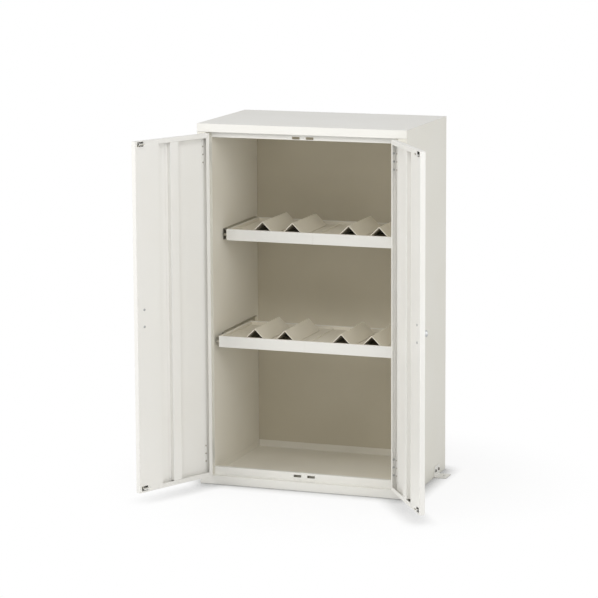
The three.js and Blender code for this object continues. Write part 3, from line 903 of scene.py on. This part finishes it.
# The trays' outside is the ivory paint written a little greyer, and their deck and cradles
# have a duller skin and a warmer tone. Both tones are painted shade: the shade in the bays
# written into the paint.
shaded_tray_coat = powder_coat("shaded_tray_powder_coat", "#E4E3DE", "#E1DFD8", 0.42)
shaded_deck_coat = powder_coat("shaded_cradle_powder_coat", "#E6E0D1", "#E0D9C8", 0.5)
pair_middles = [cradle_shift * 2 * tray_half + end * tray_half / 2 for end in (-1, 1)]
ridge_reach = ridge_share * tray_half / 2
ridges = [middle + end * ridge_reach for middle in pair_middles for end in (-1, 1)]
ridge_run = (tray_nose + tray_rim + clear, tail - tray_rim - cradle_end_gap)
foot_edge = cradle_gauge / math.sqrt(2)
for level, tray_top, pull in trays:
    deck = tray_top - deck_drop
    foot = tray_top - tray_height
    slid = Matrix.Translation((0, -pull, 0))
    tray_path = [
        (sheet_overlap, deck),
        (tray_rim, deck),
        (tray_rim, tray_top),
        (0, tray_top),
        (0, foot),
    ]
    pan = swept_pan((-tray_half, tray_nose), (tray_half, tail), tray_path, tray_gauge)
    joint = around(joint_from_middle, joint_width / 2)
    upright_part = (foot - over, tray_top + over)
    rim_part = (tray_top - joint_depth, tray_top + over)
    pan = cut_blocks(pan, [
        (joint, (tray_nose - over, tray_nose + joint_depth), upright_part),
        (joint, (tray_nose - over, tray_nose + tray_rim + rim_overcut), rim_part),
        (joint, (tail - joint_depth, tail + over), upright_part),
        (joint, (tail - tray_rim - rim_overcut, tail + over), rim_part),
    ])
    pan = rounded_edges(pan)
    # Faces on the deck, inside the rim, take the painted-shade deck coat.
    for face in pan.faces:
        x, y, z = face.calc_center_median()
        on_deck = z > deck - nearly and abs(x) < tray_half - tray_rim + nearly
        if on_deck and tray_nose + tray_rim - nearly < y < tail - tray_rim + nearly:
            face.material_index = 1
    pan_piece = set_piece(f"{level}_tray_pan", pan, shaded_tray_coat, f"{level}_tray", "ivory_paint",
                          f"{level}_tray", turn=slid)
    pan_piece.data.materials.append(shaded_deck_coat)
    seam_path = [
        (joint_from_middle - seam_half, deck),
        (joint_from_middle - seam_half, deck + seam_rise),
        (joint_from_middle + seam_half, deck + seam_rise),
        (joint_from_middle + seam_half, deck),
    ]
    outline = bent_outline(seam_path, seam_gauge, -1, tight_fold)
    seam = drawn_out(outline, "y", tray_nose + tray_rim, tail - tray_rim)
    set_piece(f"{level}_tray_seam_strip", rounded_edges(seam, width=0.2), shaded_deck_coat,
              f"{level}_tray", "inner_paint", turn=slid)
    for i, x in enumerate(ridges):
        ridge_path = [
            (x - cradle_height + foot_edge, deck + foot_edge),
            (x, deck + cradle_height),
            (x + cradle_height - foot_edge, deck + foot_edge),
        ]
        outline = bent_outline(ridge_path, cradle_gauge, -1, tight_fold)
        ridge = drawn_out(outline, "y", *ridge_run)
        set_piece(f"{level}_cradle_plate_{i + 1}", rounded_edges(ridge), shaded_deck_coat,
                  f"{level}_tray", "inner_paint", f"{level}_cradle_{i + 1}", turn=slid)


# Each door is a folded pan: the outer skin, its edges, and an inner lip with mitred corners,
# with a boxed stile along the free edge that holds the latch rods. The stile's slots let the
# hooks out, and its screw holes hold the handle.
door_gauge = 1.2
door_front = front + 1
door_back = door_front + 21
door_foot = base_height + 2
door_head = lip_under - 2.5
door_near = 1.5
door_far = stile_inner - 3.5
door_lip = 18
door_corner = 1.4
stile_web = door_near + 125
joint_half = 0.4
line_depth = 0.5
mitre_inset = 9
mitre_half = 12.6
mitre_half_width = 0.35
axis_x = stile_inner - 1.6
axis_y = front - 3.2
handle_x = door_near + 36.5
handle_z = (door_foot + door_head) / 2
handle_screw_pitch = 68
handle_screw_hole = 3.4
spindle_hole = 7.5
slot_width = 33
slot_height = 19
lock_z = handle_z + 95
lock_hole = 9
hinge_heights = {"top": door_head - 85, "bottom": door_foot + 95}
hinge_screw_y = (door_front + door_back) / 2
hinge_screw_pitch = 32
hinge_screw_hole = 2.6
through_sheet = 10
through_stile = 40
door_angles = {"left": 115, "right": 123.5}
# Painted light: the same ivory paint, written a little paler on the doors, where more light falls.
lit_door_coat = powder_coat("lit_door_ivory_powder_coat", "#EEEDE9", "#ECEAE4", 0.42)


def door_turn(hand, side):
    """The move from the closed place to the open one that the door stands in."""
    pin = Vector((hand * axis_x, axis_y, 0))
    swing = Matrix.Rotation(math.radians(hand * door_angles[side]), 4, "Z")
    return Matrix.Translation(pin) @ swing @ Matrix.Translation(-pin)


def cut_bores(shape, bores):
    """Round holes, each given as (radius, direction, start, length)."""
    for radius, direction, start, length in bores:
        drill = turned_bar(radius, 0, length, steps=20)
        drill.transform(pointing(direction, start))
        shape = cut_away(shape, drill)
    return shape


for hand, side in sides:
    pan = bmesh.new()
    add_block(pan, span(hand, door_near, door_far), (door_front, door_back),
              (door_foot, door_head))
    bmesh.ops.recalc_face_normals(pan, faces=pan.faces)
    pan = rounded_edges(pan, width=door_corner, steps=3)
    hollow = (door_front + door_gauge, door_back - door_gauge)
    inside = (door_foot + door_gauge, door_head - door_gauge)
    through_lip = around(door_back, over)
    slot_xs = around(hand * catch_from_centre, slot_width / 2)
    lip_joint = span(hand, stile_web - joint_half, stile_web + joint_half)
    lip_line = (door_back - line_depth, door_back + over)
    pan = cut_blocks(pan, [
        (span(hand, door_near + door_gauge, stile_web - door_gauge), hollow, inside),
        (span(hand, stile_web, door_far - door_gauge), hollow, inside),
        (span(hand, stile_web, door_far - door_lip), through_lip,
         (door_foot + door_lip, door_head - door_lip)),
        (slot_xs, through_lip, around(top_catch, slot_height / 2)),
        (slot_xs, through_lip, around(bottom_catch, slot_height / 2)),
        (lip_joint, lip_line, (door_head - door_lip, door_head + over)),
        (lip_joint, lip_line, (door_foot - over, door_foot + door_lip)),
    ])
    for end, edge in ((1, door_head), (-1, door_foot)):
        mitre = bmesh.new()
        add_block(mitre, around(0, mitre_half), around(0, line_depth),
                  around(0, mitre_half_width))
        lean = Matrix.Rotation(math.radians(-45 * hand * end), 4, "Y")
        corner = (hand * (door_far - mitre_inset), door_back, edge - end * mitre_inset)
        mitre.transform(Matrix.Translation(corner) @ lean)
        pan = cut_away(pan, mitre)
    outside_x = hand * handle_x
    outside_y = door_front - over
    bores = [
        (handle_screw_hole, (0, 1, 0),
         (outside_x, outside_y, handle_z + end * handle_screw_pitch / 2), through_stile)
        for end in (-1, 1)
    ]
    bores.append((spindle_hole, (0, 1, 0), (outside_x, outside_y, handle_z), through_sheet))
    for middle in hinge_heights.values():
        for step in (-1, 0, 1):
            start = (hand * (door_far - over), hinge_screw_y, middle + step * hinge_screw_pitch)
            bores.append((hinge_screw_hole, (hand, 0, 0), start, through_sheet))
    if side == "right":
        bores.append((lock_hole, (0, 1, 0), (outside_x, outside_y, lock_z), through_sheet))
    pan = rounded_edges(cut_bores(pan, bores), width=0.25)
    set_piece(f"{side}_door_sheet", pan, lit_door_coat, f"{side}_door", "ivory_paint",
              f"{side}_door_pan", turn=door_turn(hand, side))


# Behind each hinge a small painted plate stiffens the door's edge. Three zinc plated pan
# heads hold it to the skin, and they show as a row of dark dots beside the lip.
stiff_gauge = 1.5
stiff_reach = 24
stiff_edge = 7
stiff_height = 116
stiff_screw_inset = 5
edge_inside = door_far - door_gauge - clear
skin_inside = door_front + door_gauge + clear


def pan_head(radius, rise, shaft_radius=0, shaft_length=0):
    """Pan head screw with a cross recess. Its seat is at zero and its head points along Z."""
    profile = [(0, -shaft_length), (shaft_radius, -shaft_length), (shaft_radius, 0)]
    if not shaft_length:
        profile = [(0, 0)]
    profile += [
        (radius * 0.94, 0), (radius, rise * 0.14), (radius, rise * 0.42),
        (radius * 0.9, rise * 0.76), (radius * 0.66, rise * 0.95), (0, rise),
    ]
    head = lathed(profile)
    wide, narrow, deep = radius * 0.56, radius * 0.13, rise * 0.55
    for xs, ys in ((around(0, wide), around(0, narrow)), (around(0, narrow), around(0, wide))):
        cutter = bmesh.new()
        add_block(cutter, xs, ys, (rise - deep, rise + 1))
        head = cut_away(head, cutter)
    return head


stiff_screw = pan_head(3.4, 2.2)
for hand, side in sides:
    stiff_path = [
        (hand * (edge_inside - stiff_reach), skin_inside),
        (hand * (edge_inside - stiff_edge), skin_inside),
    ]
    for end, middle in hinge_heights.items():
        outline = bent_outline(stiff_path, stiff_gauge, hand)
        plate = rounded_edges(drawn_out(outline, "z", *around(middle, stiff_height / 2)), width=0.4)
        set_piece(f"{side}_door_{end}_stiffening", plate, lit_door_coat, f"{side}_door",
                  "ivory_paint", turn=door_turn(hand, side))
        heads = bmesh.new()
        for step in (-1, 0, 1):
            seat = (hand * (edge_inside - stiff_reach + stiff_screw_inset), skin_inside + stiff_gauge,
                    middle + step * hinge_screw_pitch)
            add_copy(heads, stiff_screw, pointing((0, 1, 0), seat))
        set_piece(f"{side}_door_{end}_stiffening_screws", heads, zinc, f"{side}_door",
                  "zinc_steel", turn=door_turn(hand, side))
stiff_screw.free()


# A hat section of 1 mm sheet stiffens each door from top to bottom. It is spot welded to
# the skin through its flanges, and the welds show as small shallow dimples.
hat_width = 45
hat_flange = 12
hat_gauge = 1
hat_fold = 1.2
hat_share = 0.71
weld_pitch = 150
weld_inset = 40
weld_radius = 2.6
recess = door_far - door_lip - stile_web
hat_far = door_far - door_lip - hat_share * (recess - hat_width)
hat_near = hat_far - hat_width
hat_seat = door_front + door_gauge + clear + hat_gauge
hat_run = (door_foot + door_lip + clear, door_head - door_lip - clear)
for hand, side in sides:
    hat_path = [
        (hand * (hat_near - hat_flange), hat_seat),
        (hand * hat_near, hat_seat),
        (hand * hat_near, door_back),
        (hand * hat_far, door_back),
        (hand * hat_far, hat_seat),
        (hand * (hat_far + hat_flange), hat_seat),
    ]
    outline = bent_outline(hat_path, hat_gauge, -hand, hat_fold)
    hat = rounded_edges(drawn_out(outline, "z", *hat_run))
    dimple = lathed([(0, -0.2), (weld_radius, -0.2), (weld_radius, 0.12),
                     (weld_radius * 0.75, 0.2), (0, 0.05)], steps=16)
    for z in evenly(hat_run[0] + weld_inset, hat_run[1] - weld_inset, weld_pitch):
        for x in (hat_near - hat_flange / 2, hat_far + hat_flange / 2):
            add_copy(hat, dimple, pointing((0, 1, 0), (hand * x, hat_seat, z)))
    dimple.free()
    set_piece(f"{side}_door_hat", hat, lit_door_coat, f"{side}_door", "ivory_paint",
              f"{side}_door_stiffener", turn=door_turn(hand, side))


# Each hinge is a pair of plated leaves with rolled knuckles round a pin. One leaf is welded
# to the side's stile, and the other is screwed to the door's edge with three pan heads.
leaf_height = 90
leaf_depth = 20
leaf_gauge = 1.2
leaf_corner = 3
leaf_x = door_far + clear
leaf_middle = (front + clear + front + leaf_depth) / 2
knuckle_radius = 2.8
knuckle_rim = 0.3
knuckle_third = leaf_height / 6
tongue_reach = front + 2 * clear + 3
pin_radius = 1.1
pin_hole = 1.5
pin_chamfer = 0.4
# Smoother than the slides' plating, it gives a cool, sharper shine.
hinge_zinc = plated_steel("bright_zinc_hinge", "#C2C3C1", "#B2B3B2", 0.32)


def rounded_plate(width, tall, thick, corner, steps=5):
    """Plate with round corners, its face about the origin, standing along Z."""
    outline = []
    for first, (sx, sy) in enumerate(((1, 1), (-1, 1), (-1, -1), (1, -1))):
        middle = Vector((sx * (width / 2 - corner), sy * (tall / 2 - corner)))
        for step in range(steps + 1):
            angle = math.pi / 2 * (first + step / steps)
            outline.append(middle + corner * Vector((math.cos(angle), math.sin(angle))))
    return drawn_out(outline, "z", 0, thick)


def standing_leaf(hand, x, middle):
    """The move that stands a leaf's plate upright, with its thickness away from the middle."""
    place = Matrix.Translation((hand * x, leaf_middle, middle))
    outward = Matrix.Translation((0, 0, min(hand, 0) * leaf_gauge))
    return place @ Matrix.Rotation(math.radians(90), 4, "Y") @ outward


def add_knuckle(leaf, hand, xs, heights, bore):
    """A rolled knuckle round the pin, and the tongue that joins it to its leaf."""
    tongue = bmesh.new()
    add_block(tongue, span(hand, *xs), (axis_y, tongue_reach), heights)
    add_copy(leaf, rounded_edges(tongue, width=0.2))
    tongue.free()
    low, high = heights
    inner = knuckle_radius - knuckle_rim
    tube = lathed([
        (bore, low), (inner, low), (knuckle_radius, low + knuckle_rim),
        (knuckle_radius, high - knuckle_rim), (inner, high), (bore, high), (bore, low),
    ])
    bmesh.ops.remove_doubles(tube, verts=tube.verts, dist=0.0001)
    tube.transform(Matrix.Translation((hand * axis_x, axis_y, 0)))
    add_copy(leaf, tube)
    tube.free()


leaf_screw = pan_head(4.5, 2.5, 2.0, 2.6)
plate = rounded_plate(leaf_height, leaf_depth - clear, leaf_gauge, leaf_corner)
pin_end = leaf_height / 2
pin = lathed([(0, -pin_end), (pin_radius, -pin_end + pin_chamfer),
              (pin_radius, pin_end - pin_chamfer), (0, pin_end)], steps=16)
for hand, side in sides:
    for end, middle in hinge_heights.items():
        leaf = bmesh.new()
        add_copy(leaf, plate, standing_leaf(hand, leaf_x, middle))
        add_knuckle(leaf, hand, (leaf_x, leaf_x + leaf_gauge),
                    around(middle, knuckle_third - clear), pin_hole)
        for step in (-1, 0, 1):
            seat = (hand * (door_far - door_gauge), hinge_screw_y,
                    middle + step * hinge_screw_pitch)
            add_copy(leaf, leaf_screw, pointing((-hand, 0, 0), seat))
        set_piece(f"{side}_door_{end}_leaf", leaf, hinge_zinc, f"{side}_door", "zinc_steel",
                  f"{side}_door_{end}_hinge_leaf", turn=door_turn(hand, side))
        frame_leaf = bmesh.new()
        add_copy(frame_leaf, plate, standing_leaf(hand, stile_inner - leaf_gauge, middle))
        for low, high in ((-3, -1), (1, 3)):
            add_knuckle(frame_leaf, hand, (stile_inner - leaf_gauge, stile_inner),
                        (middle + low * knuckle_third, middle + high * knuckle_third), pin_radius)
        add_copy(frame_leaf, pin, Matrix.Translation((hand * axis_x, axis_y, middle)))
        set_piece(f"{side}_stile_{end}_leaf", frame_leaf, hinge_zinc, "cabinet", "zinc_steel",
                  f"{side}_frame_{end}_hinge_leaf")
for spent in (leaf_screw, plate, pin):
    spent.free()


# The handle is a die-cast zinc lever on a plate outside the door, chromed to a matt satin
# that blurs what it mirrors. Its spindle turns a cam inside the stile, and two screws hold
# it from within.
satin_chrome = plated_steel("satin_chrome", "#C8C9C9", "#BEC0C1", 0.52, 0.008)
plate_width = 28
plate_height = 100
plate_thickness = 3
plate_corner = 5
plate_back = door_front - clear
hub_back = plate_back - plate_thickness - clear
hub_radius = 13
hub_height = 14
hub_front = hub_back - hub_height
lever_length = 90
lever_root = 16
lever_tip = 12
lever_thickness = 8
tip_steps = 8
spindle_radius = 6
cam_start = door_front + 7
cam_radius = 14
cam_thickness = 3
cam_soft = 0.4
spindle_length = cam_start + cam_thickness - hub_back
handle_screw = pan_head(5, 2.5, 2.8, 24)
for hand, side in sides:
    opened = door_turn(hand, side)
    x = hand * handle_x
    plate = rounded_plate(plate_width, plate_height, plate_thickness, plate_corner, 6)
    plate.transform(pointing((0, -1, 0), (x, plate_back, handle_z)))
    plate = cut_bores(plate, [
        (spindle_hole, (0, -1, 0), (x, plate_back + 1, handle_z), 2 * plate_thickness),
    ])
    plate = rounded_edges(plate, width=0.7, steps=3)
    for end in (-1, 1):
        seat = (x, door_back + clear, handle_z + end * handle_screw_pitch / 2)
        add_copy(plate, handle_screw, pointing((0, 1, 0), seat))
    set_piece(f"{side}_handle_base", plate, satin_chrome, f"{side}_door", "chrome",
              f"{side}_handle_plate", turn=opened)
    arm_outline = [(0, lever_root / 2)]
    tip_centre = lever_length - lever_tip / 2
    for step in range(tip_steps + 1):
        angle = math.pi / 2 - math.pi * step / tip_steps
        arm_outline.append((tip_centre + lever_tip / 2 * math.cos(angle),
                            lever_tip / 2 * math.sin(angle)))
    arm_outline.append((0, -lever_root / 2))
    arm = drawn_out([(x + hand * a, handle_z + b) for a, b in arm_outline], "y", hub_front,
                    hub_front + lever_thickness)
    arm = rounded_edges(arm, width=2.2, steps=4)
    hub = lathed([
        (0, -hub_height), (hub_radius, -hub_height), (hub_radius, -2),
        (hub_radius - 0.6, -0.8), (hub_radius - 2, 0), (0, 0),
    ], steps=40)
    add_copy(arm, hub, pointing((0, -1, 0), (x, hub_front, handle_z)))
    hub.free()
    spindle = turned_bar(spindle_radius, 0, spindle_length)
    add_copy(arm, spindle, pointing((0, 1, 0), (x, hub_back, handle_z)))
    spindle.free()
    cam = turned_bar(cam_radius, 0, cam_thickness, steps=40, soft=cam_soft)
    add_copy(arm, cam, pointing((0, 1, 0), (x, cam_start, handle_z)))
    cam.free()
    set_piece(f"{side}_handle_arm", arm, satin_chrome, f"{side}_handle", "chrome",
              f"{side}_handle_lever", turn=opened)
handle_screw.free()


# Two rods in each latch stile run from the cam to the top and the bottom, and end in a
# hook of plated strip that reaches through the stile's slot into the stop strip.
rod_radius = 3.5
rod_soft = 0.6
rod_x = door_near + 19.5
rod_y = door_back - door_gauge - clear - rod_radius
rod_start = 18
hook_half = 13.5
hook_arm = 3
hook_fold = 0.8
hook_soft = 0.6
hook_fit = 1.3
hook_behind = 2.3
hook_tip_rise = 7.5
hook_tip_depth = 3
hook_end = stop_face + gauge + hook_behind + hook_tip_depth
# Fresh bright zinc: nearly white, so the hooks show as light dots in their dark slots.
bright_zinc = plated_steel("bright_zinc_hook", "#EDEDEA", "#E2E2DF", 0.3)
for hand, side in sides:
    for end, level, catch_z in ((1, "upper", top_catch), (-1, "lower", bottom_catch)):
        arm_edge = catch_z - end * (catch_height / 2 - hook_fit)
        hook_path = [
            (rod_y, arm_edge),
            (hook_end, arm_edge),
            (hook_end, arm_edge + end * hook_tip_rise),
        ]
        outline = bent_outline(hook_path, hook_arm, end, hook_fold)
        hook = drawn_out(outline, "x", *around(hand * catch_from_centre, hook_half))
        hook = rounded_edges(hook, width=hook_soft, steps=3)
        length = abs(arm_edge + end * hook_arm - handle_z) - rod_start
        rod = turned_bar(rod_radius, 0, length, steps=20, soft=rod_soft)
        rod.transform(pointing((0, 0, end), (hand * rod_x, rod_y, handle_z + end * rod_start)))
        set_piece(f"{side}_{level}_rod_bar", rod, zinc, f"{side}_{level}_rod", "zinc_steel",
                  f"{side}_{level}_latch_rod", turn=door_turn(hand, side))
        set_piece(f"{side}_{level}_rod_hook", hook, bright_zinc, f"{side}_{level}_rod",
                  "zinc_steel", turn=door_turn(hand, side))


# A small chromed lock plug sits in the right door above the handle. Its flange is turned,
# and its face has a narrow keyway.
plug_length = 16
plug_radius = 8.5
flange_radius = 10.5
flange_rise = 3
keyway_depth = 4
keyway_half_width = 0.8
keyway_half_height = 4.5
plug_end = plug_length - flange_rise
plug = lathed([
    (0, plug_end), (plug_radius, plug_end), (plug_radius, 0), (flange_radius, 0),
    (flange_radius, -2.2), (flange_radius - 0.6, -2.8), (flange_radius - 1.9, -flange_rise),
    (0, -flange_rise),
], steps=40)
plug.transform(pointing((0, 1, 0), (handle_x, plate_back, lock_z)))
plug_face = plate_back - flange_rise
plug = cut_blocks(plug, [
    (around(handle_x, keyway_half_width), (plug_face - over, plug_face + keyway_depth),
     around(lock_z, keyway_half_height)),
])
set_piece("right_lock_barrel", rounded_edges(plug, width=0.2), satin_chrome, "right_lock", "chrome",
          "right_lock_plug", turn=door_turn(1, "right"))
